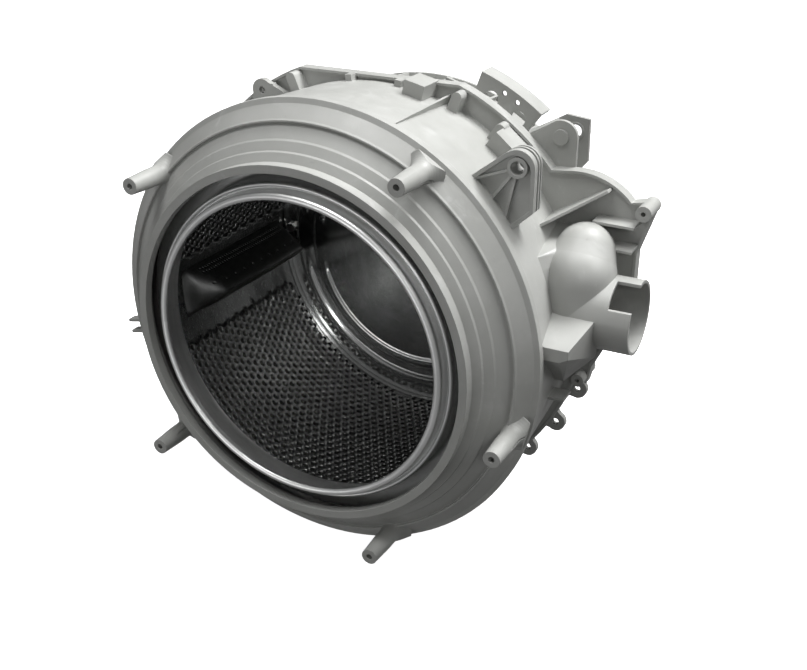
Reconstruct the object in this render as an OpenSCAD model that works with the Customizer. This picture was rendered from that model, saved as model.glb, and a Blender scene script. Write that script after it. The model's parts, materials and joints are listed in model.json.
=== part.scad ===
// Plastic outer tub of a front-loading washer with its stainless drum.
// The drum axis lies along Y, the mouth faces -Y, and the sump faces +X.

/* [Tub] */
// Outer radius of the front rim
rim_r = 260; // [256:1:264]
// Inner radius of the tub mouth
mouth_r = 195; // [193:1:196]
// Outer radius of the gasket collar around the mouth
collar_r = 204; // [202:1:206]
// Distance that the mouth stands in front of the rim
mouth_rise = 58; // [56:1:60]
// Wall thickness of the moulded plastic
wall = 3.5; // [3:0.5:4]
// Radius of the seam flange between the two halves
flange_r = 274; // [272:1:278]
// Height of the flat that trims the top of the flange
flange_top = 255; // [253:1:258]

/* [Counterweight posts] */
// Distance of each post from the drum axis
post_circle_r = 245.5; // [244:0.5:246]
// Distance that the posts stand in front of the rim
post_rise = 72; // [60:1:80]
// Radius of the screw hole in a post
post_hole_r = 3.4; // [3:0.1:4]

/* [Drum] */
// Outer radius of the drum
drum_r = 215; // [210:1:216]
// Radius of the rolled lip at the drum mouth
lip_r = 170; // [165:1:172]
// Place of the drum's back along the axis
drum_back_y = 265; // [260:1:266]
// Height of a lifter above the drum wall
lifter_h = 50; // [40:1:60]

/* [Outlet] */
// Outer radius of the outlet spigot
spigot_r = 40; // [38:1:42]
// Distance from the drum axis to the end of the spigot
spigot_end = 330; // [325:1:335]

/* [Hidden] */
$fn = 96;

seam_gap = 0.1;                  // space between the two halves of the flange
through = 400;                   // length of a cut that goes right through

// Tub
skirt_front_r = rim_r - 3;       // outer radius of the front shell, behind the rim
skirt_back_r = 249;              // the same at the seam
seam_y = 146;                    // plane where the two halves meet
flange_t = 6;                    // thickness of each half of the flange
flange_y = seam_y - flange_t;
flange_back_y = seam_y + flange_t;
neck_back_y = -48;               // back end of the mouth's inner neck
foot_z = rim_r;                  // the flange's lower flat lies level with the rim
lower_trim_r = 259;              // flange radius where it is cut back, low on the sump side
rear_front_r = 232.5;            // outer radius of the rear shell at the seam
rear_back_r = 226;               // the same near its back
rear_corner_y = 270;
rear_wall_y = 300;               // inner face of the rear wall
rest_pad_x = 70;

// Counterweight posts: tips, flares and their angles round the axis
post_angles = [139.4, 57.2, -13.8, -66.5, -138.7];
post_tip_r = 9.2;
post_neck_r = 10.6;
post_blend_r = 20;               // radius of the sweep between a post and the face
post_blend_y = -28;
post_hole_depth = 55;
// Narrow slots beside a post's foot: number of the post, direction and back end
post_slots = [[0, 139, -16], [1, -33, -16], [2, 0, -16], [4, 41, -24]];

// Seam screws: radius of their circle and their angles
screw_circle_r = 266;
screw_angles = [54.5, 67, 113, 133, 149, 165, 181, 197, 213, 228, 246, 294];
tab_angles = [83, 97];           // plain gussets where the flange is trimmed flat
screw_r = 2.5;
screw_head_r = 5.5;
screw_tip_y = 126;
seal_path_r = 252;
groove_w = 3.5;
groove_depth = 3;
pillar_r = 6;
pillar_y = 122;

// Sump, on the +X side
sump_x = 309;
sump_corner = [240, 100];
sump_corner_r = 79.5;
sump_low = [262, -62];
boss_xz = [316, 149];            // tubular boss at the flange's upper corner
boss_r = 8.5;
boss_hole_r = 2.5;
low_boss_xz = [259, -58];        // tubular boss below the sump
spigot_y = 92;
spigot_z = 48;
elbow_x = 262;
elbow_rise = 34;                 // straight upright part of the elbow
elbow_lean = 35;                 // its crown leans back towards the flange
elbow_crown = 26;
elbow_taper = 8;
cone_sink = 0.25;                // the crown starts and ends this far inside its balls

// Brackets on the upper sump side
bracket_hole = [213, 209];
bracket_hole_r = 7;
bracket_boss_r = 10.5;
bracket_corner_r = 18;
bracket_front_y = 28;
bracket_back_y = 50;
rear_hole = [217, 208];
rear_plate_y = 186;

// Spring lugs
lug_angles = [123, -123];
lug_reach_r = 282;
lug_hole_r = 4;
lug_hole_circle_r = 269;

// Water inlet
inlet_yz = [214, 36];
inlet_r = 17;
inlet_end = 262;
inlet_neck = 22;

// Motor lugs and ears on the rear shell
motor_lug_angles = [14, -58];
motor_lug_r = 256;
motor_hole_r = 5.5;
motor_lug_y = [213, 268];
ear_angles = [-19, -31, -43];
ear_r = 264;
ear_hole_r = 4.2;
ear_y = 156;

// Bearings, listed from the drum outwards
seal_y = [308, 318];
seal_seat_r = 31;
front_bearing_y = [320, 336];
rear_bearing_y = [360, 375];
housing_y = [305, 378];
housing_r = 36;
housing_flange_r = 41;
shaft_y = [258, 412];
shaft_front_r = 15;
shaft_rear_r = 12.5;
shaft_end_r = 10;
sleeve_r = 17.5;
// Each bearing: bore, inner race's outer radius, outer race's bore, outer radius, pitch and ball
front_bearing = [15, 19.6, 26.4, 31, 23, 4.76];
rear_bearing = [12.5, 16.2, 22.3, 26, 19.25, 3.97];
ball_count = 9;
groove_play = 0.08;

// Drum
sheet = 1.2;                     // thickness of the stainless sheet
drum_front_y = -12;
neck_r = 183;                    // outer radius of the drum's neck
seam_bead_r = drum_r + 2.5;
back_flat_r = 197;               // start of the flat band that carries the spider bolts
arm_angles = [183, 63, -57];
arm_bolt_r = 204;
arm_bolt_spread = 13;
bolt_r = 4;
bolt_head_r = 6.5;
lifter_y = [32, 246];
lifter_half_w = 31;
lifter_screw_y = [90, 190];
lifter_screw_r = 2.4;
lifter_wall = 2.5;

plastic = [0.64, 0.645, 0.63];
steel = [0.72, 0.73, 0.74];
cast = [0.6, 0.61, 0.62];
rubber = [0.08, 0.08, 0.09];

// ---------- helpers ----------

// A profile given as [radius, y], turned round the drum axis
module revolved() { rotate([-90, 0, 0]) rotate_extrude() children(); }

// A flat outline given as [x, z], from y0 to y1
module plate(y0, y1) { translate([0, y1, 0]) rotate([90, 0, 0]) linear_extrude(y1 - y0) children(); }

// A round bar along Y at [x, z]
module bar(at, y0, y1, r, r2 = -1) {
    translate([at[0], y0, at[1]]) rotate([-90, 0, 0])
        cylinder(r1 = r, r2 = r2 < 0 ? r : r2, h = y1 - y0);
}

// Turns +X to the given angle round the drum axis, seen from the front
module at_angle(a) { rotate([0, -a, 0]) children(); }

function polar(r, a) = [r * cos(a), r * sin(a)];
function normal(a, b) = let (d = (b - a) / norm(b - a)) [-d[1], d[0]];
function corner_normal(p, i) =
    i == 0 ? normal(p[0], p[1])
    : i == len(p) - 1 ? normal(p[i - 1], p[i])
    : let (n = normal(p[i - 1], p[i]), s = n + normal(p[i], p[i + 1])) s / (s * n);

// Outline of a sheet of thickness t whose middle follows the path p
function sheet_outline(p, t) = concat(
    [for (i = [0 : len(p) - 1]) p[i] + corner_normal(p, i) * t / 2],
    [for (i = [len(p) - 1 : -1 : 0]) p[i] - corner_normal(p, i) * t / 2]);

module wedge(a0, a1, r) {
    steps = 6;
    polygon(concat([[0, 0]], [for (i = [0 : steps]) polar(r, a0 + (a1 - a0) * i / steps)]));
}

// ---------- tub outlines ----------

// The seam flange as seen from the front, drawn in by d
module flange_outline(d = 0) {
    difference() {
        intersection() {
            circle(r = flange_r - d);
            translate([-flange_r, d - foot_z]) square([2 * flange_r, foot_z + flange_top - 2 * d]);
        }
        difference() {
            wedge(-62, -14, flange_r * 1.2);
            circle(r = lower_trim_r - d);
        }
    }
    sump_outline(d);
    polygon([[285, 100], [sump_x - d, 100], [boss_xz[0] + boss_r - d, boss_xz[1]],
             [boss_xz[0], boss_xz[1] + boss_r - d], [282, 150]]);
}

// The part of the flange round the sump
module sump_outline(d = 0) {
    intersection() {
        translate(sump_corner) circle(r = sump_corner_r - d);
        translate([sump_corner[0] - 60, sump_corner[1] - 90])
            square([sump_x - d - sump_corner[0] + 60, 200]);
    }
    polygon([[150, sump_corner[1] + sump_corner_r - d - 8], [sump_corner[0],
        sump_corner[1] + sump_corner_r - d],
             [sump_x - d, sump_corner[1]], [sump_x - d, 40], [sump_low[0] - d, sump_low[1] + d],
             [200, sump_low[1] + d]]);
}

function front_outer_profile() = [
    [collar_r, -mouth_rise], [collar_r, -46], [212.5, -40.5], [213.5, -38], [222.3, -32], [223.6, -29.4],
    [237.3, -17.6], [238.6, -20.8], [240.2, -20.6], [241.5, -18.6], [254.5, -5.5], [rim_r, -3], [rim_r, 6],
    [skirt_front_r, 8], [skirt_back_r, flange_y]];

function front_inner_profile() = [
    [skirt_back_r - wall, flange_y], [skirt_front_r - wall, 8], [skirt_front_r - wall, -4.5], [236, -11],
    [232.5, -15.5], [219.5, -20.5], [219.5, -29.5], [209.5, -29.5], [209.5, -38.5],
    [mouth_r + 5, -41], [mouth_r, neck_back_y]];

// ---------- front tub shell ----------

module counterweight_post() {
    blend = [for (t = [0 : 9 : 63])
        [post_neck_r + post_blend_r * (1 - cos(t)), post_blend_y + post_blend_r * sin(t)]];
    intersection() {
        translate([post_circle_r, 0, 0]) revolved()
            polygon(concat([[0, -post_rise], [post_tip_r, -post_rise], [post_neck_r, -post_rise + 30]],
                           blend, [[0, blend[len(blend) - 1][1]]]));
        bar([0, 0], -post_rise - 1, 0, rim_r - 1);
    }
}

// Blind hole with a short conical end
module post_hole() {
    bottom = post_hole_depth - post_rise;
    bar([post_circle_r, 0], -post_rise - 1, bottom, post_hole_r);
    bar([post_circle_r, 0], bottom - 0.01, bottom + 2, post_hole_r, 0.8);
}

module post_slot(slot) {
    at = polar(post_circle_r, post_angles[slot[0]]);
    translate([at[0], 0, at[1]]) at_angle(slot[1]) translate([0, 0, -0.9]) linear_extrude(1.8)
        polygon([[post_neck_r + 0.1, -50], [post_neck_r - 2, -32], [post_neck_r - 2, slot[2]],
                 [30, slot[2]], [30, -50]]);
}

module bracket_outline() {
    polygon([[158, 190], [201, 223], [213, 227], [231, 209], [231, 165], [203, 139], [176, 128]]);
    translate(bracket_hole) circle(r = bracket_corner_r);
}

// The outline pulled in towards the middle of the bracket
module bracket_core(k) {
    middle = [200, 182];
    translate(middle) scale(k) translate(-middle) bracket_outline();
}

module front_bracket() {
    plate(bracket_front_y, bracket_front_y + 8) difference() {
        bracket_outline();
        bracket_core(0.87);
    }
    plate(33, 36) bracket_outline();
    plate(35, bracket_back_y) bracket_core(0.86);
    for (y = [40, 46]) plate(y, y + 3) bracket_outline();
    bar(bracket_hole, bracket_front_y - 1, bracket_back_y + 1, bracket_boss_r);
    for (end = [[168, 192], [176, 160], [200, 150]])
        plate(bracket_front_y + 1, 34) polygon(sheet_outline([bracket_hole, end], 3));
}

// The sump's section where it meets the flange, drawn in by d
module sump_section(d) {
    translate([200, d - 48]) square([50 - d, 140]);
    for (z = [10, 96]) translate([262, z]) circle(r = 25 - d, $fn = 32);
    translate([200, 100]) square([20, 19 - d]);
}

module sump_body(d) {
    hull() {
        plate(52 + 2 * d, 53 + 2 * d) intersection() {
            circle(r = skirt_front_r - 4 - d, $fn = 64);
            translate([205, -20]) square([60, 130]);
        }
        plate(flange_y - 1, flange_y + 1) sump_section(d);
    }
}

// The cone from a ball of radius r1 to one of radius r2 at a distance h above it, almost touching both
module tangent_cone(r1, r2, h) {
    slope = asin((r1 - r2) / h);
    translate([0, 0, r1 * sin(slope)])
        cylinder(r1 = r1 * cos(slope) - cone_sink, r2 = r2 * cos(slope) - cone_sink,
            h = h + (r2 - r1) * sin(slope));
}

module elbow(r) {
    translate([elbow_x, spigot_y, spigot_z]) {
        sphere(r = r);
        cylinder(r = r, h = elbow_rise);
        translate([0, 0, elbow_rise]) {
            sphere(r = r);
            rotate([-elbow_lean, 0, 0]) {
                tangent_cone(r, r - elbow_taper, elbow_crown);
                translate([0, 0, elbow_crown]) sphere(r = r - elbow_taper);
            }
        }
    }
}

module spigot() {
    translate([elbow_x, spigot_y, spigot_z]) rotate([0, 90, 0]) cylinder(r = spigot_r,
        h = spigot_end - elbow_x);
}

module spigot_notch() {
    intersection() {
        translate([spigot_end - 24, spigot_y - spigot_r - 5, spigot_z + 18]) cube([40, spigot_r - 2, 40]);
        translate([0, spigot_y, spigot_z]) rotate([0, 90, 0]) cylinder(r = spigot_r + 3, h = through);
    }
}

// Closed pocket beside the outlet, with a sloping top
module air_pocket() {
    hull() {
        plate(66, 68) polygon([[236, 58], [298, 58], [294, 6], [262, -30], [236, -30]]);
        plate(10, 12) polygon([[248, 34], [283, 34], [283, 25], [274, 20], [248, 20]]);
    }
}

// Webs that carry the flange round the sump
module sump_webs() {
    at_angle(31) translate([0, 0, -1.5]) linear_extrude(3)
        polygon([[250, 92], [262, 96], [322, 126], [322, flange_y + 1], [250, flange_y + 1]]);
    translate([0, 0, 132]) linear_extrude(3)
        polygon([[264, 118], [sump_x, 116], [sump_x, flange_y + 1], [264, flange_y + 1]]);
    translate([0, 0, 106]) linear_extrude(3)
        polygon([[280, 116], [sump_x, 114], [sump_x, flange_y + 1], [280, flange_y + 1]]);
}

module spring_lug(y0, y1) {
    plate(y0, y1) {
        translate([244, -17]) square([lug_hole_circle_r - 244, 34]);
        translate([lug_hole_circle_r, 0]) circle(r = lug_reach_r - lug_hole_circle_r);
        polygon([[240, -34], [lug_hole_circle_r + 6, -11], [lug_hole_circle_r + 6, 11], [240, 34]]);
    }
}

module lug_hole(y0, y1) { bar([lug_hole_circle_r, 0], y0 - 1, y1 + 1, lug_hole_r); }

module front_shell_outside() {
    revolved() polygon(concat(front_outer_profile(), [[0, flange_y], [0, -mouth_rise]]));
    for (a = post_angles) at_angle(a) counterweight_post();
    plate(flange_y, seam_y) flange_outline();
    plate(flange_y - 3, seam_y) difference() {
        flange_outline();
        flange_outline(3);
    }
    for (a = screw_angles) at_angle(a) {
        bar([screw_circle_r, 0], pillar_y, flange_y + 1, pillar_r);
        translate([240, pillar_y, -pillar_r]) cube([screw_circle_r - 240, flange_y - pillar_y, 2 * pillar_r]);
    }
    front_bracket();
    sump_body(0);
    elbow(spigot_r);
    spigot();
    air_pocket();
    sump_webs();
    bar(boss_xz, 121, seam_y, boss_r);
    bar(low_boss_xz, 124, seam_y, boss_r - 1);
    for (a = lug_angles) at_angle(a) spring_lug(126, 134);
    for (a = tab_angles) at_angle(a) translate([243, 127, -4]) cube([14, flange_y - 127, 8]);
    // Wide clip seat on the upper side
    at_angle(76.5) translate([248, 106, -12]) cube([19, 35, 24]);
    // Axial seam rib from the rim to the flange
    at_angle(70) translate([246, 4, -1.2]) cube([12.5, flange_y - 4, 2.4]);
    // Solid pad beside the front bracket
    at_angle(50.5) translate([246, 104, -17]) cube([24, 37, 34]);
    // Channel tab low on the left
    at_angle(-168.5) translate([250, 7, -9]) cube([36, 12, 18]);
    // Ledge under the air pocket
    translate([236, 52, -48]) cube([32, 24, 3]);
}

module front_shell_cuts() {
    revolved() polygon(concat(front_inner_profile(), [[0, neck_back_y], [0, flange_y + 0.5]]));
    revolved() square([mouth_r, mouth_rise + 20]);
    translate([0, -mouth_rise - 1, 0]) rotate([-90, 0, 0]) cylinder(r = mouth_r, h = mouth_rise + 10);
    bar([0, 0], flange_y - 1, seam_y + 1, skirt_back_r - wall);
    for (a = post_angles) at_angle(a) post_hole();
    for (slot = post_slots) post_slot(slot);
    bar(bracket_hole, 0, 80, bracket_hole_r);
    sump_body(wall);
    plate(flange_y - 2, seam_y + 1) hull() sump_section(wall);
    elbow(spigot_r - wall);
    translate([elbow_x, spigot_y, spigot_z]) rotate([0, 90, 0]) cylinder(r = spigot_r - wall, h = through);
    spigot_notch();
    bar(boss_xz, 100, seam_y + 1, boss_hole_r);
    bar(low_boss_xz, 100, seam_y + 1, boss_hole_r);
    for (a = screw_angles) at_angle(a)
        bar([screw_circle_r, 0], screw_tip_y, seam_y + 1, screw_r + 0.1);
    for (a = lug_angles) at_angle(a) lug_hole(126, 134);
    at_angle(76.5) translate([252, 112, -9]) cube([10, 40, 30]);
    at_angle(-168.5) translate([262, 0, -5.5]) cube([30, 30, 11]);
}

module front_tub_shell() {
    color(plastic) difference() {
        front_shell_outside();
        front_shell_cuts();
    }
}

// ---------- rear tub shell ----------

function rear_outer_profile() = [
    [rear_front_r, flange_back_y - 1], [rear_front_r, 200], [rear_back_r, rear_corner_y],
    [rear_back_r - 6, 286], [205, 300], [192, rear_wall_y + 4], [60, rear_wall_y + 6],
    [56, 376], [50, 380], [0, 380]];

function rear_inner_profile() = [
    [0, rear_wall_y + 4], [46, rear_wall_y + 4], [58, rear_wall_y], [190, rear_wall_y],
    [202, 296], [rear_back_r - 9.5, 283], [rear_back_r - wall, rear_corner_y - 1],
    [rear_front_r - wall, 199], [rear_front_r - wall, seam_y + seam_gap]];

module rear_bracket() {
    plate(flange_back_y - 1, flange_back_y + 4) bracket_outline();
    bar(bracket_hole, flange_back_y - 3, flange_back_y + 6, bracket_boss_r - 2);
    plate(rear_plate_y, rear_plate_y + 5) {
        polygon([[150, 170], [166, 203], [206, 225], [232, 222], [233, 176], [205, 140], [176, 128]]);
        translate(rear_hole) circle(r = 15.5);
    }
    bar(rear_hole, rear_plate_y - 1, rear_plate_y + 8, bracket_boss_r - 1);
    plate(flange_back_y, rear_plate_y + 2) {
        polygon(sheet_outline([[166, 201], [198, 219]], 3));
        polygon(sheet_outline([[168, 168], [208, 206]], 3));
    }
}

// Arched rib behind the top of the seam
module arched_rib() {
    inner_r = 228;
    outer_r = 270;
    plate(216, 220) difference() {
        intersection() {
            difference() {
                circle(r = outer_r);
                circle(r = inner_r);
            }
            wedge(52, 70, 400);
        }
        for (a = [56, 65]) translate(polar(247, a)) circle(r = 9);
        for (a = [58.5, 62.5]) translate(polar(261, a)) circle(r = 3);
    }
    plate(216, 244) intersection() {
        difference() {
            circle(r = outer_r);
            circle(r = outer_r - 4);
        }
        wedge(52, 70, 400);
    }
    for (a = [53, 69]) at_angle(a) translate([inner_r - 6, 216, -2]) cube([outer_r - inner_r + 4, 28, 4]);
}

module ear(a) {
    at_angle(a) plate(ear_y, ear_y + 7) {
        translate([ear_r, 0]) circle(r = 12);
        polygon([[226, -24], [ear_r + 2, -11], [ear_r + 2, 11], [226, 24]]);
    }
}

module motor_lug(a) {
    at_angle(a) {
        bar([motor_lug_r, 0], motor_lug_y[0], motor_lug_y[1], 12);
        translate([222, motor_lug_y[0], -5]) cube([34, motor_lug_y[1] - motor_lug_y[0], 10]);
        for (y = [motor_lug_y[0], motor_lug_y[1] - 6]) plate(y, y + 6)
            polygon([[222, -26], [motor_lug_r, -12], [motor_lug_r, 12], [222, 26]]);
    }
}

module rear_sump(d) {
    hull() {
        plate(flange_back_y - 1 - d, flange_back_y + 1 - d / 2) intersection() {
            sump_outline(d + 14, $fn = 48);
            translate([150, -60]) square([170, 215]);
        }
        plate(222 - d, 224 - d) translate([180, -40 + d]) square([46 - d, 150 - 2 * d]);
    }
}

module rear_shell_outside() {
    revolved() polygon(concat(rear_outer_profile(), [[0, flange_back_y - 1]]));
    plate(seam_y + seam_gap, flange_back_y) flange_outline();
    // Ring ribs, and two pads that carry the back of the tub on the floor
    for (rib = [[166, 169, 246], [272, 276, 231]]) revolved()
        translate([200, rib[0]]) square([rib[2] - 200, rib[1] - rib[0]]);
    for (x = [-rest_pad_x, rest_pad_x]) translate([x - 14, 258, -foot_z]) difference() {
        cube([28, 26, foot_z - 200]);
        translate([4, -1, 5]) cube([20, 23, foot_z - 205]);
    }
    for (a = [0 : 15 : 345]) at_angle(a) translate([200, flange_back_y - 1, -1.5]) cube([46, 17, 3]);
    for (a = [7.5 : 15 : 352.5]) at_angle(a) translate([0, 0, -1.5]) linear_extrude(3)
        polygon([[214, 168], [240, 168], [231, 274], [214, 274]]);
    // Radial ribs on the rear wall
    for (a = [0 : 20 : 340]) at_angle(a) translate([0, 0, -2]) linear_extrude(4)
        polygon([[40, 302], [58, 358], [120, 326], [196, 312], [222, 287], [204, 290], [180, 302]]);
    for (ring = [[92, 328], [150, 318]]) revolved()
        translate([ring[0], 302]) square([4, ring[1] - 302]);
    rear_bracket();
    plate(173, 177) intersection() {
        difference() {
            circle(r = 262);
            circle(r = 225);
        }
        wedge(50, 75, 400);
    }
    arched_rib();
    for (a = ear_angles) ear(a);
    bar(low_boss_xz, seam_y + seam_gap, 168, boss_r - 1);
    bar(boss_xz, seam_y + seam_gap, 158, boss_r);
    for (a = lug_angles) at_angle(a) translate([-12, 0, 0]) spring_lug(171, 179);
    for (a = motor_lug_angles) motor_lug(a);
    rear_sump(0);
    // Water inlet on the side away from the sump
    translate([0, inlet_yz[0], inlet_yz[1]]) rotate([0, -90, 0]) {
        cylinder(r = inlet_r, h = inlet_end);
        cylinder(r = inlet_r + 4, h = inlet_end - inlet_neck);
    }
}

module rear_shell_cuts() {
    revolved() polygon(concat(rear_inner_profile(), [[0, seam_y + seam_gap]]));
    bar([0, 0], seam_y - 1, seam_y + 20, rear_front_r - wall);
    bar([0, 0], housing_y[0] - 2, 400, housing_r);
    bar([0, 0], housing_y[0] - 3, housing_y[0] + 4, housing_flange_r);
    rear_sump(wall);
    plate(seam_y - 1, flange_back_y) intersection() {
        sump_outline(wall + 14);
        translate([150, -56]) square([170, 207]);
    }
    bar(rear_hole, 160, 220, bracket_hole_r);
    for (a = lug_angles) at_angle(a) translate([-12, 0, 0]) lug_hole(171, 179);
    for (a = ear_angles) at_angle(a) bar([ear_r, 0], ear_y - 5, ear_y + 12, ear_hole_r);
    for (a = motor_lug_angles) at_angle(a) bar([motor_lug_r, 0], motor_lug_y[0] - 4, 280, motor_hole_r);
    bar(low_boss_xz, seam_y, 180, boss_hole_r);
    bar(boss_xz, seam_y, 180, boss_hole_r);
    for (a = screw_angles) at_angle(a) bar([screw_circle_r, 0], seam_y, 175, screw_r + 0.3);
    translate([-215, inlet_yz[0], inlet_yz[1]]) rotate([0, -90, 0]) cylinder(r = inlet_r - 3, h = 60);
    seam_groove();
}

// Everything inside the seal's path round the drum and the sump, drawn in by d
module inside_seal(y0, y1, d) {
    plate(y0, y1) circle(r = seal_path_r - d);
    plate(y0, y1) sump_outline(8 + d);
}

module seam_groove() {
    difference() {
        inside_seal(seam_y, seam_y + seam_gap + groove_depth, 0);
        inside_seal(seam_y - 1, seam_y + seam_gap + groove_depth + 1, groove_w);
    }
}

module rear_tub_shell() {
    color(plastic) difference() {
        rear_shell_outside();
        rear_shell_cuts();
    }
}

module seam_seal() {
    color(rubber) difference() {
        inside_seal(seam_y + 0.02, seam_y + seam_gap + groove_depth - 0.1, 0.1);
        inside_seal(seam_y - 1, seam_y + seam_gap + groove_depth + 1, groove_w - 0.1);
    }
}

module seam_screws() {
    color(steel) for (a = screw_angles) at_angle(a) {
        difference() {
            bar([screw_circle_r, 0], flange_back_y + 0.1, flange_back_y + 4.5, screw_head_r);
            translate([screw_circle_r, flange_back_y + 2.5, 0]) rotate([-90, 0, 0]) cylinder(r = 2.3,
                h = 5, $fn = 6);
        }
        bar([screw_circle_r, 0], screw_tip_y + 1, flange_back_y + 0.2, screw_r);
    }
}

// ---------- bearings ----------

module bearing_housing() {
    color(cast) difference() {
        union() {
            bar([0, 0], housing_y[0] + 0.2, housing_y[1], housing_r - 0.05);
            bar([0, 0], housing_y[0] + 0.2, housing_y[0] + 3.8, housing_flange_r - 0.1);
        }
        bar([0, 0], housing_y[0] - 1, front_bearing_y[1], seal_seat_r);
        bar([0, 0], housing_y[0], housing_y[1] + 1, seal_seat_r - 8);
        bar([0, 0], rear_bearing_y[0], housing_y[1] + 1, rear_bearing[3]);
    }
}

module shaft_seal() {
    color(rubber) revolved() polygon([
        [seal_seat_r - 0.02, seal_y[0]], [seal_seat_r - 0.02, seal_y[1]], [27, seal_y[1]], [27,
            seal_y[0] + 3],
        [22, seal_y[0] + 3], [19.5, seal_y[0] + 8], [sleeve_r + 0.1, seal_y[0] + 6.5],
        [sleeve_r + 0.1, seal_y[0] + 5.5], [20, seal_y[0]]]);
}

module race(r_in, r_out, span, pitch, ball) {
    middle = (span[0] + span[1]) / 2;
    revolved() difference() {
        translate([r_in, span[0]]) square([r_out - r_in, span[1] - span[0]]);
        translate([pitch, middle]) circle(r = ball + groove_play);
    }
}

module ball_set(b, span) {
    for (i = [0 : ball_count - 1]) at_angle(i * 360 / ball_count)
        translate([b[4], (span[0] + span[1]) / 2, 0]) sphere(r = b[5], $fn = 48);
}

module cage(b, span) {
    middle = (span[0] + span[1]) / 2;
    half = b[5] + 1.2;
    difference() {
        revolved() translate([b[4] - 1, middle - half]) square([2, 2 * half]);
        for (i = [0 : ball_count - 1]) at_angle(i * 360 / ball_count)
            translate([b[4] - 5, middle, 0]) rotate([0, 90, 0]) cylinder(r = b[5] + 0.15, h = 10);
    }
}

module front_bearing_outer_race() {
    color(steel) race(front_bearing[2], front_bearing[3] - 0.02, front_bearing_y, front_bearing[4],
        front_bearing[5]);
}
module front_bearing_inner_race() {
    color(steel) race(front_bearing[0] + 0.02, front_bearing[1], front_bearing_y, front_bearing[4],
        front_bearing[5]);
}
module rear_bearing_outer_race() {
    color(steel) race(rear_bearing[2], rear_bearing[3] - 0.02, rear_bearing_y, rear_bearing[4],
        rear_bearing[5]);
}
module rear_bearing_inner_race() {
    color(steel) race(rear_bearing[0] + 0.02, rear_bearing[1], rear_bearing_y, rear_bearing[4],
        rear_bearing[5]);
}
module front_bearing_balls() { color(steel) ball_set(front_bearing, front_bearing_y); }
module front_bearing_cage() { color([0.7, 0.55, 0.3]) cage(front_bearing, front_bearing_y); }
module rear_bearing_balls() { color(steel) ball_set(rear_bearing, rear_bearing_y); }
module rear_bearing_cage() { color([0.7, 0.55, 0.3]) cage(rear_bearing, rear_bearing_y); }

// ---------- drum ----------

module drum_front_panel() {
    path = [[lip_r + 2.6, -54], [lip_r, -51], [lip_r - 2.4, -53.5], [lip_r - 2, -57.5], [lip_r + 1.5, -59],
            [lip_r + 5, -56], [lip_r + 5.5, -47], [lip_r + 7.5, -43], [lip_r + 9.5, -45], [neck_r - 1.5, -47],
            [neck_r, -43], [neck_r, drum_front_y - 8], [neck_r + 2.4, drum_front_y - 2.4],
            [neck_r + 8, drum_front_y], [drum_r, drum_front_y], [seam_bead_r, drum_front_y + 2],
            [seam_bead_r, drum_front_y + 8]];
    color(steel) revolved() polygon(sheet_outline(path, sheet));
}

module drum_wrapper() {
    color(steel) difference() {
        revolved() {
            translate([drum_r - sheet, drum_front_y + 1.5]) square([sheet, drum_back_y - drum_front_y - 3]);
            translate([drum_r - sheet, drum_front_y + 3]) square([seam_bead_r - drum_r + sheet - 0.9, 4]);
        }
        for (a = arm_angles, y = lifter_screw_y) at_angle(a)
            translate([drum_r - 10, y, 0]) rotate([0, 90, 0]) cylinder(r = lifter_screw_r + 0.3, h = 20);
    }
}

module drum_back_panel() {
    path = [[drum_r - sheet - 0.7, drum_back_y - 8], [drum_r - sheet - 0.7, drum_back_y],
        [back_flat_r, drum_back_y],
            [back_flat_r - 6, drum_back_y - 4], [168, drum_back_y - 7], [158, drum_back_y - 14],
            [120, drum_back_y - 19], [60, drum_back_y - 24], [30, drum_back_y - 26], [0, drum_back_y - 26]];
    color(steel) difference() {
        revolved() polygon(sheet_outline(path, sheet));
        for (a = arm_angles, s = [-1, 1]) at_angle(a)
            bar([arm_bolt_r, s * arm_bolt_spread], drum_back_y - 4, drum_back_y + 4, bolt_r + 0.2);
    }
}

module spider_arm() {
    front = drum_back_y + 1;
    translate([0, 0, -4.5]) linear_extrude(9)
        polygon([[20, front + 2], [arm_bolt_r + 8, front], [arm_bolt_r + 8, front + 12],
                 [arm_bolt_r - 20, front + 14], [60, front + 24], [20, front + 28]]);
    translate([0, front, 0]) rotate([-90, 0, 0]) linear_extrude(5)
        polygon([[20, -20], [arm_bolt_r - 10, -14], [arm_bolt_r + 8, -23], [arm_bolt_r + 8, 23],
                 [arm_bolt_r - 10, 14], [20, 20]]);
    for (s = [-1, 1]) bar([arm_bolt_r, s * arm_bolt_spread], front, front + 14, 8);
}

module drum_spider() {
    front = drum_back_y + 1;
    color(cast) difference() {
        union() {
            for (a = arm_angles) at_angle(a) spider_arm();
            bar([0, 0], front, front + 31, 30, 26);
            bar([0, 0], front, front + 12, 38, 34);
        }
        bar([0, 0], 200, 320, shaft_front_r + 0.02);
        for (a = arm_angles, s = [-1, 1]) at_angle(a)
            bar([arm_bolt_r, s * arm_bolt_spread], front - 1, front + 20, bolt_r + 0.05);
    }
}

module drum_shaft() {
    color(steel) difference() {
        union() {
            bar([0, 0], shaft_y[0], front_bearing_y[1] + 2, shaft_front_r);
            bar([0, 0], shaft_y[0], drum_back_y, shaft_front_r + 4);
            bar([0, 0], front_bearing_y[1] + 1, rear_bearing_y[1] + 4, shaft_rear_r);
            bar([0, 0], rear_bearing_y[1] + 3, shaft_y[1] - 1, shaft_end_r);
            bar([0, 0], shaft_y[1] - 1, shaft_y[1], shaft_end_r, shaft_end_r - 1);
        }
        bar([0, 0], shaft_y[1] - 25, shaft_y[1] + 1, 3.4);
    }
}

module seal_sleeve() {
    color([0.78, 0.66, 0.42]) difference() {
        bar([0, 0], drum_back_y + 33, front_bearing_y[0] - 0.2, sleeve_r);
        bar([0, 0], drum_back_y, front_bearing_y[0] + 5, shaft_front_r + 0.02);
    }
}

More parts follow.
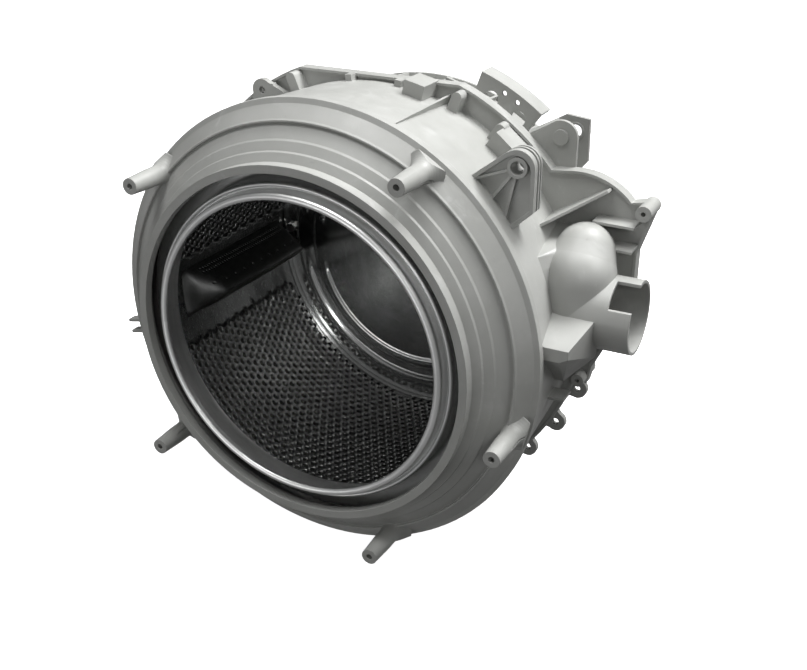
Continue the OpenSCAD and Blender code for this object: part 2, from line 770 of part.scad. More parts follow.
// A long ridge with rounded top, drawn in by d on every side
module lifter_form(a, inside_r, d) {
    ridge_r = 9;
    at_angle(a) hull() {
        translate([inside_r - 8, lifter_y[0] + d, d - lifter_half_w])
            cube([8 + d, lifter_y[1] - lifter_y[0] - 2 * d, 2 * (lifter_half_w - d)]);
        bar([inside_r - lifter_h + ridge_r, 0], lifter_y[0] + 30, lifter_y[1] - 24, ridge_r - d, $fn = 32);
    }
}

module lifter(a) {
    inside_r = drum_r - sheet - 0.1;
    color(steel) difference() {
        intersection() {
            lifter_form(a, inside_r, 0);
            bar([0, 0], 0, 300, inside_r);
        }
        lifter_form(a, inside_r, lifter_wall);
    }
    // Screw posts inside the ridge
    color(steel) for (y = lifter_screw_y) at_angle(a)
        translate([inside_r - lifter_h + 2.2, y, 0]) rotate([0, 90, 0]) difference() {
            cylinder(r = 5.5, h = lifter_h - 4);
            translate([0, 0, lifter_h - 24]) cylinder(r = lifter_screw_r + 0.1, h = 30);
        }
}

module lifter_1() { lifter(arm_angles[0]); }
module lifter_2() { lifter(arm_angles[1]); }
module lifter_3() { lifter(arm_angles[2]); }

module lifter_screws() {
    color(steel) for (a = arm_angles, y = lifter_screw_y) at_angle(a) translate([0, y, 0]) rotate([0,
        90, 0]) {
        translate([0, 0, drum_r + 0.1]) cylinder(r1 = 4.8, r2 = 3.6, h = 2.4);
        translate([0, 0, drum_r - 15]) cylinder(r = lifter_screw_r, h = 15.2);
    }
}

module spider_bolts() {
    color(steel) for (a = arm_angles, s = [-1, 1]) at_angle(a) {
        bar([arm_bolt_r, s * arm_bolt_spread], drum_back_y - 6.2, drum_back_y - 0.7, bolt_head_r, $fn = 6);
        bar([arm_bolt_r, s * arm_bolt_spread], drum_back_y - 1, drum_back_y + 13, bolt_r);
    }
}

front_tub_shell();
rear_tub_shell();
seam_seal();
seam_screws();
bearing_housing();
shaft_seal();
front_bearing_outer_race();
rear_bearing_outer_race();
drum_wrapper();
drum_front_panel();
drum_back_panel();
drum_spider();
drum_shaft();
seal_sleeve();
front_bearing_inner_race();
rear_bearing_inner_race();
lifter_1();
lifter_2();
lifter_3();
lifter_screws();
spider_bolts();
front_bearing_balls();
front_bearing_cage();
rear_bearing_balls();
rear_bearing_cage();
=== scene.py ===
"""Looks of a front-loading washer's tub and stainless drum, on a white floor under soft light."""

import bpy
import json
import math
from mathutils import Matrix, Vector


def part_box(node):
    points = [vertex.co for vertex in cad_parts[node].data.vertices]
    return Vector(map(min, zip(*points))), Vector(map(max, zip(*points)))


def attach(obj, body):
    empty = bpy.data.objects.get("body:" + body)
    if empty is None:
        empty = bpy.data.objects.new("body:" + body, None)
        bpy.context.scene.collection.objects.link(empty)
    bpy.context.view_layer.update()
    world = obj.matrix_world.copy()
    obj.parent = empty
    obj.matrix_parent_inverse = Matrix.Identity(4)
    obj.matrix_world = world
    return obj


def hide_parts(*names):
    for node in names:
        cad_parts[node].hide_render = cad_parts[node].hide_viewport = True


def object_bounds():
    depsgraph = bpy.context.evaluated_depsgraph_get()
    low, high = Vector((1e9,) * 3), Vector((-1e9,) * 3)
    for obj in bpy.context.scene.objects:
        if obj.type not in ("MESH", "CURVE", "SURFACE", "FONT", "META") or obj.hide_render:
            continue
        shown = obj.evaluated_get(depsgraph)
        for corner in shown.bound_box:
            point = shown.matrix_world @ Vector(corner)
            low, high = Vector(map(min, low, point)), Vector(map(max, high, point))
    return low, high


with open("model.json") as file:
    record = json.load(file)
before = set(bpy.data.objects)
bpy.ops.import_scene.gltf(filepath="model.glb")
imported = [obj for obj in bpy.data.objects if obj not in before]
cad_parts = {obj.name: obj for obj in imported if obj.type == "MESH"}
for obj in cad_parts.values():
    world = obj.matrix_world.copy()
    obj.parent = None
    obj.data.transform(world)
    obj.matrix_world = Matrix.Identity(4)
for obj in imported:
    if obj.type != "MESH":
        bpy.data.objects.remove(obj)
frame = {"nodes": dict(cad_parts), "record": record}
cad_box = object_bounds()

MM = 0.001
TAU = 2 * math.pi

# ---------- sizes, in metres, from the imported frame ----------

SHEET = 1.2 * MM                 # stainless sheet
SEAM_BEAD = 1.6 * MM             # how far the wrapper's front bead stands out
wrapper_low, wrapper_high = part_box("drum_wrapper")
panel_low, panel_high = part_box("drum_front_panel")
back_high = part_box("drum_back_panel")[1]
WALL_R = wrapper_high.x - SEAM_BEAD - SHEET      # inner radius of the drum wall
WALL_FRONT = wrapper_low.y
WALL_BACK = wrapper_high.y
PANEL_Y = panel_high.y - 8 * MM                  # plane of the drum's front face
BACK_Y = back_high.y - SHEET / 2                 # plane of the back panel's outer flat
LIP_R = 170 * MM                                 # rolled lip at the drum mouth
NECK_R = 183 * MM
ARM_ANGLES = (183, 63, -57)                      # lifters and spider arms, in degrees

# Perforation: a hexagonal lattice whose rows run round the drum, with plain rows at both ends
COLUMN_DEG = 3.0
PITCH = math.radians(COLUMN_DEG) * WALL_R
ROW = PITCH * math.sqrt(3) / 2
FIRST_ROW_Y = 14 * MM
ROWS = 25
FIRST_PLAIN_ROW = -2
PLAIN_BEFORE, PLAIN_AFTER = 12.0, 16.5           # plain band beside each lifter, in degrees
HOLE_RINGS = ((4.1 * MM, 0.0), (3.4 * MM, 0.6 * MM), (2.5 * MM, 1.6 * MM))   # radius and depth
WELD_PER_DEG = 400               # corners closer than one such step become one
WELD_PER_MM = 200
WELD_PER_UV = 20000

# Back panel, in millimetres and degrees
DOME_R, DOME_FOOT, DOME_RISE = 158, 12, 20
BACK_PATH = ((DOME_R, DOME_FOOT), (168, 7), (191, 4), (197, 0), (213.1, 0))
ARC_RISE = 5.0
ARCS = ((181, 6, 1.0), (150, 7, 0.8))            # radius, half width and share of the rise
ARC_GAP, ARC_BLEND = 9, 8                        # the arcs stop short of the spider's arms
DOME_RINGS = (3, 8, 15, 25, 40, 60, 80, 100, 120, 130, 138)
ARC_RINGS = [140 + 1.5 * i for i in range(41)]
RIM_RINGS = (203, 208)
ROLLED_EDGE = 8 * MM

# Lifters: u runs from 0 at the front to 1 at the back, v from -1 to 1 across
LIFTER_RISE = 49 * MM
LIFTER_HALF_WIDTH = 30 * MM
LIFTER_CELLS_LONG = 48
LIFTER_CELLS_WIDE = 20
PLAIN_CELLS_FRONT, PLAIN_CELLS_BACK = 5, 4
HOLED_ROWS = (1, 2)              # counted from either edge; single larger holes lie in TOP_ROW
TOP_ROW = 6
HOLE_SHARE, TOP_HOLE_SHARE = 0.42, 0.62          # of the cell
HOLE_TAPER = 0.9
LIFTER_HOLE_DEPTH = 2.5 * MM

FLOOR_HALF = 8                   # metres
CAMERA_PLACE = (0.5863, -0.9377, 0.5275)
CAMERA_AIM = (0.1037, 0, 0.0181)
CAMERA_LENS = 49.22


# ---------- meshes ----------

def new_object(name, verts, faces, mat, sharp=32, body="drum"):
    """A smooth-shaded mesh piece with creases where faces meet at more than the sharp angle."""
    mesh = bpy.data.meshes.new(name)
    mesh.from_pydata(verts, [], faces)
    mesh.validate()
    mesh.update()
    obj = bpy.data.objects.new(name, mesh)
    bpy.context.scene.collection.objects.link(obj)
    mesh.materials.append(mat)
    mesh.shade_smooth()
    if sharp:
        mesh.set_sharp_from_angle(angle=math.radians(sharp))
    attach(obj, body)
    return obj


def on_axis(radius, angle, y):
    """A point at a radius and an angle round the drum axis."""
    return (radius * math.cos(angle), y, radius * math.sin(angle))


def rounded(path, times=3):
    """Corner cutting: a smooth path that keeps its two ends."""
    for _ in range(times):
        cut = [path[0]]
        for a, b in zip(path, path[1:]):
            cut.append(tuple(0.75 * p + 0.25 * q for p, q in zip(a, b)))
            cut.append(tuple(0.25 * p + 0.75 * q for p, q in zip(a, b)))
        cut.append(path[-1])
        path = cut
    return path


def sheet_loop(path, thickness):
    """The closed outline of a sheet whose middle follows the path."""
    sides = ([], [])
    for i, point in enumerate(path):
        before = Vector(path[max(i - 1, 0)])
        after = Vector(path[min(i + 1, len(path) - 1)])
        along = (after - before).normalized()
        normal = Vector((-along.y, along.x)) * thickness / 2
        sides[0].append(tuple(Vector(point) + normal))
        sides[1].append(tuple(Vector(point) - normal))
    return sides[0] + sides[1][::-1]


def lathe(name, loop, mat, segments=288, sharp=40, body="drum"):
    """A closed outline of (radius, y) points turned round the drum axis."""
    count = len(loop)
    verts = [on_axis(r, TAU * s / segments, y) for s in range(segments) for r, y in loop]
    faces = []
    for s in range(segments):
        here, there = s * count, (s + 1) % segments * count
        for i in range(count):
            j = (i + 1) % count
            faces.append((here + i, here + j, there + j, there + i))
    return new_object(name, verts, faces, mat, sharp, body)


# ---------- materials ----------

class Graph:
    """A material's node tree, with short ways to add and link nodes."""

    def __init__(self, name):
        self.mat = bpy.data.materials.new(name)
        self.mat.use_nodes = True
        self.tree = self.mat.node_tree
        self.tree.nodes.clear()
        self.out = self.add("ShaderNodeOutputMaterial")
        self.shader = self.add("ShaderNodeBsdfPrincipled")
        self.tree.links.new(self.shader.outputs[0], self.out.inputs["Surface"])

    def add(self, kind, **settings):
        node = self.tree.nodes.new(kind)
        for key, value in settings.items():
            setattr(node, key, value)
        return node

    def put(self, node, socket, value):
        """Links a socket, or sets a plain value."""
        target = node.inputs[socket]
        if isinstance(value, bpy.types.NodeSocket):
            self.tree.links.new(value, target)
        else:
            target.default_value = value

    def place(self):
        return self.add("ShaderNodeTexCoord").outputs["Object"]

    def math(self, operation, a, b=None, clamp=False):
        node = self.add("ShaderNodeMath", operation=operation, use_clamp=clamp)
        self.put(node, 0, a)
        if b is not None:
            self.put(node, 1, b)
        return node.outputs[0]

    def noise(self, vector, scale, detail=3.0, rough=0.55, distort=0.0):
        node = self.add("ShaderNodeTexNoise")
        self.put(node, "Vector", vector)
        node.inputs["Scale"].default_value = scale
        node.inputs["Detail"].default_value = detail
        node.inputs["Roughness"].default_value = rough
        node.inputs["Distortion"].default_value = distort
        return node.outputs["Fac"]

    def between(self, value, low, high, to_low=0.0, to_high=1.0):
        node = self.add("ShaderNodeMapRange", interpolation_type="SMOOTHSTEP")
        for socket, item in zip(("Value", "From Min", "From Max", "To Min", "To Max"),
                                (value, low, high, to_low, to_high)):
            self.put(node, socket, item)
        return node.outputs[0]

    def mix(self, factor, a, b):
        node = self.add("ShaderNodeMix", data_type="RGBA")
        self.put(node, 0, factor)
        self.put(node, 6, a)
        self.put(node, 7, b)
        return node.outputs[2]

    def bump(self, height, distance, strength=1.0, normal=None):
        node = self.add("ShaderNodeBump")
        node.inputs["Strength"].default_value = strength
        node.inputs["Distance"].default_value = distance
        self.put(node, "Height", height)
        if normal is not None:
            self.put(node, "Normal", normal)
        return node.outputs[0]

    def round_the_axis(self, around):
        """Coordinates that are fine along the radius and the axis, and long round the drum."""
        split = self.add("ShaderNodeSeparateXYZ")
        self.put(split, 0, self.place())
        x, y, z = split.outputs
        square = self.math("ADD", self.math("MULTIPLY", x, x), self.math("MULTIPLY", z, z))
        angle = self.math("MULTIPLY", self.math("ARCTAN2", z, x), around)
        join = self.add("ShaderNodeCombineXYZ")
        for socket, value in zip("XYZ", (self.math("SQRT", square), y, angle)):
            self.put(join, socket, value)
        return join.outputs[0]

    def edges(self, radius, samples=4):
        """The rounded normal of sharp edges, and a mask that is 1 on them."""
        bevel = self.add("ShaderNodeBevel", samples=samples)
        bevel.inputs["Radius"].default_value = radius
        flat = self.add("ShaderNodeNewGeometry").outputs["Normal"]
        dot = self.add("ShaderNodeVectorMath", operation="DOT_PRODUCT")
        self.put(dot, 0, bevel.outputs[0])
        self.put(dot, 1, flat)
        return bevel.outputs[0], self.between(dot.outputs["Value"], 0.995, 0.90)


def plastic_material():
    """Grey glass-filled polypropylene: satin, mottled, with dusty smears and pale rubbed edges."""
    g = Graph("tub_plastic")
    place = g.place()
    cloud = g.noise(place, 9, 4, 0.6)
    flow = g.noise(place, 30, 5, 0.65, 0.8)
    grain = g.noise(place, 900, 2, 0.5)
    colour = g.mix(g.between(cloud, 0.3, 0.7), (0.330, 0.334, 0.318, 1), (0.385, 0.389, 0.374, 1))
    colour = g.mix(g.math("MULTIPLY", g.between(flow, 0.52, 0.78), 0.35), colour, (0.46, 0.463, 0.455, 1))
    smear = g.math("MULTIPLY", g.between(g.noise(place, 16, 6, 0.7, 1.5), 0.60, 0.74), 0.35)
    colour = g.mix(smear, colour, (0.56, 0.565, 0.56, 1))
    dirt = g.math("MULTIPLY", g.between(g.noise(place, 55, 6, 0.75), 0.62, 0.76), 0.30)
    colour = g.mix(dirt, colour, (0.20, 0.195, 0.18, 1))
    normal, edge = g.edges(0.9 * MM)
    rub = g.math("MULTIPLY", edge, g.between(g.noise(place, 120, 4), 0.35, 0.6, 0.1, 0.55))
    colour = g.mix(rub, colour, (0.60, 0.605, 0.59, 1))
    g.put(g.shader, "Base Color", colour)
    g.put(g.shader, "Roughness", g.between(flow, 0.3, 0.75, 0.34, 0.56))
    g.shader.inputs["IOR"].default_value = 1.49
    fine = g.bump(grain, 0.05 * MM, 0.5, normal)
    scratch = g.bump(g.noise(place, 60, 8, 0.8), 0.12 * MM, 0.35, fine)
    g.put(g.shader, "Normal", scratch)
    return g.mat


def steel_material(name, tone, rough_low, rough_high, smudge=0.25, depth=1.0):
    """Stainless sheet with fine lines round the axis, broad waves and dull water marks."""
    g = Graph(name)
    lines = g.round_the_axis(0.02)
    brushing = g.noise(lines, 1400, 3, 0.6)
    broad = g.noise(lines, 120, 3, 0.6)
    marks = g.noise(g.place(), 28, 6, 0.7, 0.6)
    colour = g.mix(g.between(broad, 0.3, 0.7), tuple(0.86 * v for v in tone) + (1,), tuple(tone) + (1,))
    dull = g.math("MULTIPLY", g.between(marks, 0.5, 0.75), smudge)
    colour = g.mix(dull, colour, tuple(0.6 * v for v in tone) + (1,))
    g.put(g.shader, "Base Color", colour)
    g.shader.inputs["Metallic"].default_value = 1.0
    rough = g.between(brushing, 0.25, 0.75, rough_low, rough_high)
    g.put(g.shader, "Roughness", g.math("ADD", rough, g.math("MULTIPLY", dull, 0.35)))
    fine = g.bump(brushing, 0.02 * MM, 0.35 * depth)
    g.put(g.shader, "Normal", g.bump(broad, 0.05 * MM, 0.25 * depth, fine))
    return g.mat


def metal_material(name, tone, rough, grain_scale, grain_depth, metallic=1.0):
    """A plain metal with a fine grain, stains and bright edges."""
    g = Graph(name)
    place = g.place()
    stain = g.noise(place, 70, 5, 0.65)
    grain = g.noise(place, grain_scale, 4, 0.6)
    colour = g.mix(g.between(stain, 0.35, 0.7), tuple(0.78 * v for v in tone) + (1,), tuple(tone) + (1,))
    normal, edge = g.edges(0.5 * MM)
    colour = g.mix(g.math("MULTIPLY", edge, 0.4), colour, tuple(min(1, 1.25 * v) for v in tone) + (1,))
    g.put(g.shader, "Base Color", colour)
    g.shader.inputs["Metallic"].default_value = metallic
    g.put(g.shader, "Roughness", g.between(grain, 0.25, 0.8, rough - 0.08, rough + 0.12))
    g.put(g.shader, "Normal", g.bump(grain, grain_depth, 0.6, normal))
    return g.mat


def rubber_material():
    """Black nitrile rubber with grey bloom."""
    g = Graph("rubber_seal")
    bloom = g.noise(g.place(), 90, 5, 0.7)
    colour = g.mix(g.between(bloom, 0.45, 0.75), (0.02, 0.02, 0.021, 1), (0.07, 0.07, 0.072, 1))
    g.put(g.shader, "Base Color", colour)
    g.put(g.shader, "Roughness", g.between(bloom, 0.3, 0.7, 0.55, 0.8))
    g.put(g.shader, "Normal", g.bump(g.noise(g.place(), 1200, 2), 0.04 * MM, 0.5))
    return g.mat


plastic = plastic_material()
# The wall's stainless tone is darker than the spun steel's: painted shade inside the drum.
shaded_wall_steel = steel_material("stainless_wall_painted_shade", (0.42, 0.425, 0.42), 0.20, 0.28, 0.2, 0.15)
spun_steel = steel_material("stainless_spun", (0.60, 0.605, 0.60), 0.12, 0.26, 0.15)
# The front panel's stainless tone is lighter than the spun steel's: painted light on the rolled lip.
lit_panel_steel = steel_material("stainless_panel_painted_light", (0.80, 0.805, 0.80), 0.34, 0.48, 0.15)
# The lifters' stainless tone is far darker than the other steel: painted shade on the lifters inside the
# drum.
shaded_lifter_steel = steel_material("stainless_lifter_painted_shade", (0.17, 0.173, 0.17), 0.36, 0.52)
zinc = metal_material("zinc_screws", (0.62, 0.62, 0.60), 0.34, 500, 0.03 * MM)
cast = metal_material("cast_aluminium", (0.55, 0.56, 0.57), 0.48, 260, 0.25 * MM)
ground = metal_material("ground_steel", (0.70, 0.70, 0.70), 0.18, 900, 0.01 * MM)
brass = metal_material("brass_sleeve", (0.72, 0.54, 0.26), 0.30, 400, 0.03 * MM)
rubber = rubber_material()

BY_SLOT = {"tub_plastic": plastic, "rubber_seal": rubber, "zinc_screws": zinc, "cast_aluminium": cast,
           "stainless_sheet": spun_steel, "ground_steel": ground, "brass_sleeve": brass}
for part in frame["record"]["subparts"]:
    for slot in frame["nodes"][part["node"]].material_slots:
        slot.material = BY_SLOT[part["material_slot"]]


# ---------- perforated drum wall ----------

def is_plain(angle_deg):
    """True in the plain bands that run beside and under the lifters."""
    for arm in ARM_ANGLES:
        turn = (angle_deg - arm + 180) % 360 - 180
        if -PLAIN_BEFORE <= turn <= PLAIN_AFTER:
            return True
    return False


class WallSheet:
    """One third of the drum wall, welded as it is built. Positions are (arc degrees, y, depth)."""

    def __init__(self):
        self.verts, self.faces, self.index = [], [], {}

    def vert(self, deg, y, depth):
        key = (round(deg * WELD_PER_DEG), round(y / MM * WELD_PER_MM), round(depth / MM * WELD_PER_MM))
        if key not in self.index:
            self.index[key] = len(self.verts)
            self.verts.append(on_axis(WALL_R + depth, math.radians(deg), y))
        return self.index[key]

    def face(self, *corners):
        unique = [c for i, c in enumerate(corners) if c != corners[i - 1]]
        if len(unique) > 2:
            self.faces.append(tuple(unique))

    def cell_rim(self, deg, y, depth):
        """Twelve points round a hexagonal cell, starting at its right corner edge."""
        half, tip, side = COLUMN_DEG / 2, PITCH / math.sqrt(3), PITCH / math.sqrt(3) / 2
        corners = [(half, -side), (half, side), (0, tip), (-half, side), (-half, -side), (0, -tip)]
        rim = []
        for i, (a, b) in enumerate(corners):
            c, d = corners[(i + 1) % 6]
            rim.append(self.vert(deg + a, y + b, depth))
            rim.append(self.vert(deg + (a + c) / 2, y + (b + d) / 2, depth))
        return rim

    def hole_ring(self, deg, y, radius, depth):
        """Twelve points of a hole, in step with the cell's rim."""
        ring = []
        for i in range(12):
            turn = math.radians(-30 + 30 * i)
            ring.append(self.vert(deg + math.degrees(radius * math.cos(turn) / WALL_R),
                                  y + radius * math.sin(turn), depth))
        return ring

    def band(self, inner, outer, flip=False):
        for i in range(12):
            j = (i + 1) % 12
            quad = (inner[i], inner[j], outer[j], outer[i])
            self.face(*(quad[::-1] if flip else quad))

    def cell(self, deg, y, plain):
        inside = self.cell_rim(deg, y, 0)
        outside = self.cell_rim(deg, y, SHEET)
        if plain:
            self.face(*inside[::-1])
            self.face(*outside)
            return
        ring = inside
        for radius, depth in HOLE_RINGS:
            deeper = self.hole_ring(deg, y, radius, depth)
            self.band(ring, deeper)
            ring = deeper
        self.band(ring, outside)


def wall_sheet(number):
    """The wall from the middle of one lifter to the middle of the next."""
    sheet = WallSheet()
    third = 360 // len(ARM_ANGLES)
    columns = int(third / COLUMN_DEG)
    first = ARM_ANGLES[number] - third
    for row in range(FIRST_PLAIN_ROW, ROWS + 1):
        y = FIRST_ROW_Y + row * ROW
        shift = COLUMN_DEG / 2 if row % 2 else 0
        for column in range(columns):
            deg = first + (column + 0.5) * COLUMN_DEG + shift
            plain = is_plain(deg) or row < 0 or row >= ROWS
            sheet.cell(deg, y, plain)
    end_bands(sheet, first, columns)
    return new_object(f"drum_wall_{number + 1}", sheet.verts, sheet.faces, shaded_wall_steel, 0)


def end_bands(sheet, first, columns):
    """Plain strips from the zigzag edges of the cells to the straight front and back edges."""
    tip, side = PITCH / math.sqrt(3), PITCH / math.sqrt(3) / 2
    for row, limit, sign in ((FIRST_PLAIN_ROW, WALL_FRONT, -1), (ROWS, WALL_BACK, 1)):
        y = FIRST_ROW_Y + row * ROW
        shift = COLUMN_DEG / 2 if row % 2 else 0
        for column in range(columns):
            centre = first + (column + 0.5) * COLUMN_DEG + shift
            middle = (side + tip) / 2
            steps = [(-0.5, side), (-0.25, middle), (0, tip), (0.25, middle), (0.5, side)]
            for (a, b), (c, d) in zip(steps, steps[1:]):
                left, right = centre + a * COLUMN_DEG, centre + c * COLUMN_DEG
                edge = [(left, y + sign * b), (right, y + sign * d), (right, limit), (left, limit)]
                inner = [sheet.vert(*p, 0) for p in edge]
                outer = [sheet.vert(*p, SHEET) for p in edge]
                sheet.face(*(inner if sign < 0 else inner[::-1]))
                sheet.face(*(outer[::-1] if sign < 0 else outer))
                rim = (inner[3], inner[2], outer[2], outer[3])
                sheet.face(*(rim if sign < 0 else rim[::-1]))


for number in range(3):
    piece = wall_sheet(number)
    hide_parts("drum_wrapper")

# ---------- drum front panel: rolled lip, stepped neck, flat face and seam bead ----------

mouth_y = panel_low.y + SHEET / 2
lip_path = [
    (LIP_R + 3.2 * MM, mouth_y + 4.2 * MM), (LIP_R + 0.6 * MM, mouth_y + 7 * MM),
    (LIP_R - 2.4 * MM, mouth_y + 5.2 * MM), (LIP_R - 2.6 * MM, mouth_y + 1.4 * MM),
    (LIP_R + 1.2 * MM, mouth_y), (LIP_R + 4.6 * MM, mouth_y + 2.2 * MM),
    (LIP_R + 5.2 * MM, mouth_y + 9 * MM), (LIP_R + 6 * MM, mouth_y + 15 * MM),
    (LIP_R + 8 * MM, mouth_y + 16 * MM), (LIP_R + 9.2 * MM, mouth_y + 12.4 * MM),
    (NECK_R - 2 * MM, mouth_y + 11.4 * MM), (NECK_R, mouth_y + 14 * MM), (NECK_R, mouth_y + 20 * MM),
    (NECK_R, PANEL_Y - 8 * MM), (NECK_R + 1 * MM, PANEL_Y - 1.6 * MM), (NECK_R + 8 * MM, PANEL_Y),
    (WALL_R - 6 * MM, PANEL_Y), (WALL_R + 1.4 * MM, PANEL_Y + 0.2 * MM),
    (WALL_R + 3.4 * MM, PANEL_Y + 1.6 * MM), (WALL_R + 3.6 * MM, PANEL_Y + 7.6 * MM)]
panel = lathe("drum_face", sheet_loop(rounded(lip_path), SHEET), lit_panel_steel)
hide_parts("drum_front_panel")

# ---------- drum back panel: flat seam band, pressed arcs between the arms, polished dome ----------

def back_height(radius, angle):
    """How far the back panel stands into the drum from its outer flat."""
    r = radius / MM
    height = DOME_FOOT + DOME_RISE * (1 - (r / DOME_R) ** 2) if r < DOME_R else 0
    for (r0, h0), (r1, h1) in zip(BACK_PATH, BACK_PATH[1:]):
        if r0 <= r <= r1:
            height = h0 + (h1 - h0) * smooth((r - r0) / (r1 - r0))
    nearest = min(abs((math.degrees(angle) - arm + 180) % 360 - 180) for arm in ARM_ANGLES)
    lobe = smooth((nearest - ARC_GAP) / ARC_BLEND)
    arc = sum(share * bump_at(r, centre, width) for centre, width, share in ARCS)
    return (height + ARC_RISE * lobe * arc) * MM


def smooth(t):
    t = min(max(t, 0), 1)
    return t * t * (3 - 2 * t)


def bump_at(value, centre, width):
    return smooth(1 - abs(value - centre) / width)


def back_panel():
    """A fine polar grid for the inner face and a plain one behind it."""
    segments = 288
    radii = [r * MM for r in (*DOME_RINGS, *ARC_RINGS, *RIM_RINGS)] + [WALL_R - 2.2 * MM]
    rim_r = WALL_R - 0.7 * MM - SHEET / 2
    centre_y = BACK_Y - back_height(0, 0)
    verts = [(0, centre_y - SHEET / 2, 0), (0, centre_y + SHEET / 2, 0)]
    rings = []
    for side in (-1, 1):
        for radius in radii:
            rings.append(len(verts))
            for s in range(segments):
                angle = TAU * s / segments
                y = BACK_Y - back_height(radius, angle) + side * SHEET / 2
                verts.append(on_axis(radius, angle, y))
        # Rolled edge towards the mouth, inside the wall
        for y in (BACK_Y - 2 * MM + side * SHEET / 2, BACK_Y - ROLLED_EDGE):
            rings.append(len(verts))
            for s in range(segments):
                verts.append(on_axis(rim_r + side * SHEET / 2, TAU * s / segments, y))
    faces = []
    half = len(rings) // 2
    for side in (0, 1):
        for a, b in zip(rings[side * half:(side + 1) * half], rings[side * half + 1:(side + 1) * half]):
            for s in range(segments):
                t = (s + 1) % segments
                quad = (a + s, b + s, b + t, a + t)
                faces.append(quad if side == 0 else quad[::-1])
        centre = rings[side * half]
        for s in range(segments):
            t = (s + 1) % segments
            tri = (side, centre + s, centre + t)
            faces.append(tri if side == 0 else tri[::-1])
    a, b = rings[half - 1], rings[-1]
    for s in range(segments):
        t = (s + 1) % segments
        faces.append((a + s, b + s, b + t, a + t))
    return new_object("drum_back", verts, faces, spun_steel, 40)


back = back_panel()
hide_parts("drum_back_panel")

# ---------- lifters: pressed ridges with rows of small holes ----------

def lifter_rise(u, v):
    """Height of a lifter above the wall: a rounded ridge that is lower at both ends."""
    across = (1 - abs(v) ** 1.5) ** 0.9 if abs(v) < 1 else 0
    ends = smooth(u / 0.16) * smooth((1 - u) / 0.10)
    along = (0.30 + 0.70 * ends) * (0.86 + 0.14 * smooth(u * 1.4))
    fade = smooth(u / 0.05) * smooth((1 - u) / 0.03)
    return LIFTER_RISE * along * across * fade


def cell_outline(u0, u1, v0, v1):
    """Four corners and four edge middles, each with its share of a round hole's radius."""
    um, vm = (u0 + u1) / 2, (v0 + v1) / 2
    points = ((u0, v0), (um, v0), (u1, v0), (u1, vm), (u1, v1), (um, v1), (u0, v1), (u0, vm))
    return um, vm, [(u, v, share) for (u, v), share in zip(points, (0.75, 1) * 4)]


def shrunk(um, vm, outline, scale):
    """The outline drawn in towards the middle of its cell, into the rim of a round hole."""
    return [(um + (u - um) * scale * share, vm + (v - vm) * scale * share) for u, v, share in outline]


def hole_share(i, j):
    """Size of the hole in a lifter's cell, as a share of the cell, or 0 for none."""
    row = min(j, LIFTER_CELLS_WIDE - 1 - j)
    if not PLAIN_CELLS_FRONT <= i < LIFTER_CELLS_LONG - PLAIN_CELLS_BACK:
        return 0
    if row in HOLED_ROWS:
        return HOLE_SHARE
    return TOP_HOLE_SHARE if row == TOP_ROW and i % 4 == 1 else 0


def lifter(number, node):
    """A pressed ridge, perforated on both flanks, with its underside open to the wall."""
    low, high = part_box(node)
    arm = math.radians(ARM_ANGLES[number])
    length = high.y - low.y
    verts, faces, index = [], [], {}

    def vert(u, v, sink=0.0):
        key = (round(u * WELD_PER_UV), round(v * WELD_PER_UV), round(sink / MM * WELD_PER_MM))
        if key not in index:
            index[key] = len(verts)
            side = LIFTER_HALF_WIDTH * v
            foot = math.sqrt(max((WALL_R - 0.3 * MM) ** 2 - side * side, 0))
            radius = foot - max(lifter_rise(u, v) - sink, 0)
            x = radius * math.cos(arm) - side * math.sin(arm)
            z = radius * math.sin(arm) + side * math.cos(arm)
            verts.append((x, low.y + u * length, z))
        return index[key]

    for i in range(LIFTER_CELLS_LONG):
        for j in range(LIFTER_CELLS_WIDE):
            um, vm, outline = cell_outline(i / LIFTER_CELLS_LONG, (i + 1) / LIFTER_CELLS_LONG,
                                           2 * j / LIFTER_CELLS_WIDE - 1, 2 * (j + 1) / LIFTER_CELLS_WIDE - 1)
            rim = [vert(u, v) for u, v, share in outline]
            size = hole_share(i, j)
            if not size:
                faces.append(tuple(rim))
                continue
            ring = [vert(*point) for point in shrunk(um, vm, outline, size)]
            deep = [vert(*point, LIFTER_HOLE_DEPTH) for point in shrunk(um, vm, outline, size * HOLE_TAPER)]
            for k in range(8):
                m = (k + 1) % 8
                faces.append((rim[k], rim[m], ring[m], ring[k]))
                faces.append((ring[k], ring[m], deep[m], deep[k]))
            faces.append(tuple(deep))
    piece = new_object(f"lifter_shell_{number + 1}", verts, faces, shaded_lifter_steel, 0)
    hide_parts(node)


for number in range(3):
    lifter(number, f"lifter_{number + 1}")

# ---------- floor, light and camera ----------

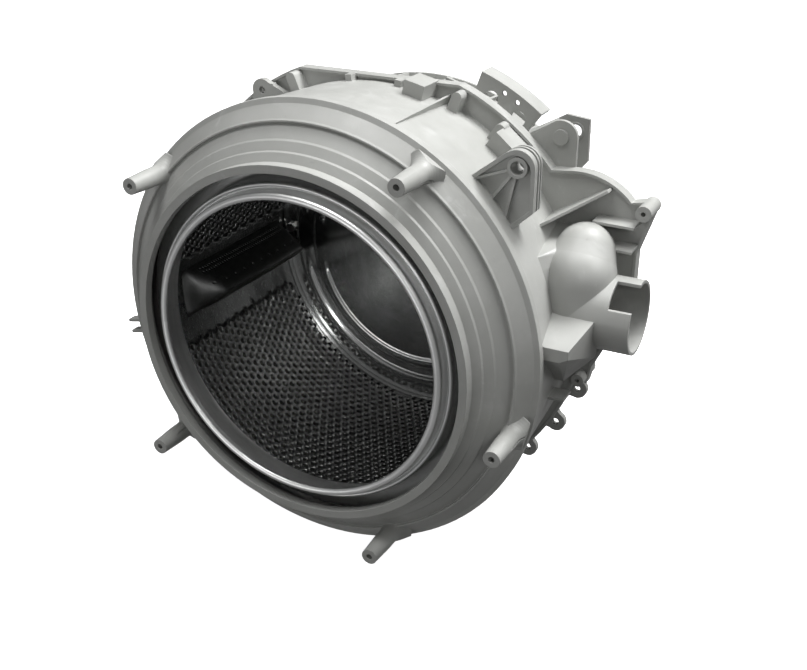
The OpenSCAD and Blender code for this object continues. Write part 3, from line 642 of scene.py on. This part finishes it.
floor_z = cad_box[0].z
floor_mesh = bpy.data.meshes.new("floor")
corners = ((-1, -1), (1, -1), (1, 1), (-1, 1))
floor_mesh.from_pydata([(FLOOR_HALF * x, FLOOR_HALF * y, floor_z) for x, y in corners], [], [(0, 1, 2, 3)])
floor = bpy.data.objects.new("floor", floor_mesh)
bpy.context.scene.collection.objects.link(floor)
floor_graph = Graph("pale_floor")
speckle = floor_graph.noise(floor_graph.place(), 3, 2)
floor_graph.put(floor_graph.shader, "Base Color",
                floor_graph.mix(speckle, (0.93, 0.93, 0.93, 1), (0.95, 0.95, 0.95, 1)))
floor_graph.shader.inputs["Roughness"].default_value = 0.9
floor_graph.shader.inputs["Emission Color"].default_value = (1, 1, 1, 1)
floor_graph.shader.inputs["Emission Strength"].default_value = 0.96
floor_mesh.materials.append(floor_graph.mat)
floor.visible_diffuse = False
floor.visible_glossy = False


def area_light(name, place, aim, size, power):
    data = bpy.data.lights.new(name, "AREA")
    data.shape = "DISK"
    data.size = size
    data.energy = power
    obj = bpy.data.objects.new(name, data)
    obj.location = place
    obj.rotation_euler = (Vector(aim) - Vector(place)).to_track_quat("-Z", "Y").to_euler()
    bpy.context.scene.collection.objects.link(obj)


area_light("key", (0.7, 0.8, 1.9), (0.05, 0.1, 0), 1.1, 58)
area_light("side", (1.5, 0.2, 1.3), (0.05, 0.1, 0), 1.1, 15)
area_light("top", (-0.2, -0.5, 2.3), (0, 0.05, 0), 1.2, 29)
area_light("low", (-0.6, -2.2, -0.1), (0, 0, 0), 1.2, 11)
area_light("glint", (1.4, -2.2, 1.2), (0, 0, 0), 0.4, 7)

# An even room: brighter in reflections than as fill light, and white to the camera
world = bpy.data.worlds.new("studio")
bpy.context.scene.world = world
world.use_nodes = True
tree = world.node_tree
tree.nodes.clear()
ray = tree.nodes.new("ShaderNodeLightPath")
glossy = tree.nodes.new("ShaderNodeMix")
glossy.inputs[2].default_value = 0.1
glossy.inputs[3].default_value = 0.3
strength = tree.nodes.new("ShaderNodeMix")
strength.inputs[3].default_value = 1.0
background = tree.nodes.new("ShaderNodeBackground")
output = tree.nodes.new("ShaderNodeOutputWorld")
tree.links.new(ray.outputs["Is Glossy Ray"], glossy.inputs[0])
tree.links.new(glossy.outputs[0], strength.inputs[2])
tree.links.new(ray.outputs["Is Camera Ray"], strength.inputs[0])
tree.links.new(strength.outputs[0], background.inputs["Strength"])
tree.links.new(background.outputs[0], output.inputs["Surface"])

camera_data = bpy.data.cameras.new("camera")
camera_data.sensor_width = 36
camera_data.lens = CAMERA_LENS
camera = bpy.data.objects.new("camera", camera_data)
camera.location = CAMERA_PLACE
camera.rotation_euler = (Vector(CAMERA_AIM) - camera.location).to_track_quat("-Z", "Y").to_euler()
bpy.context.scene.collection.objects.link(camera)
bpy.context.scene.camera = camera
bpy.context.scene.view_settings.view_transform = "Standard"
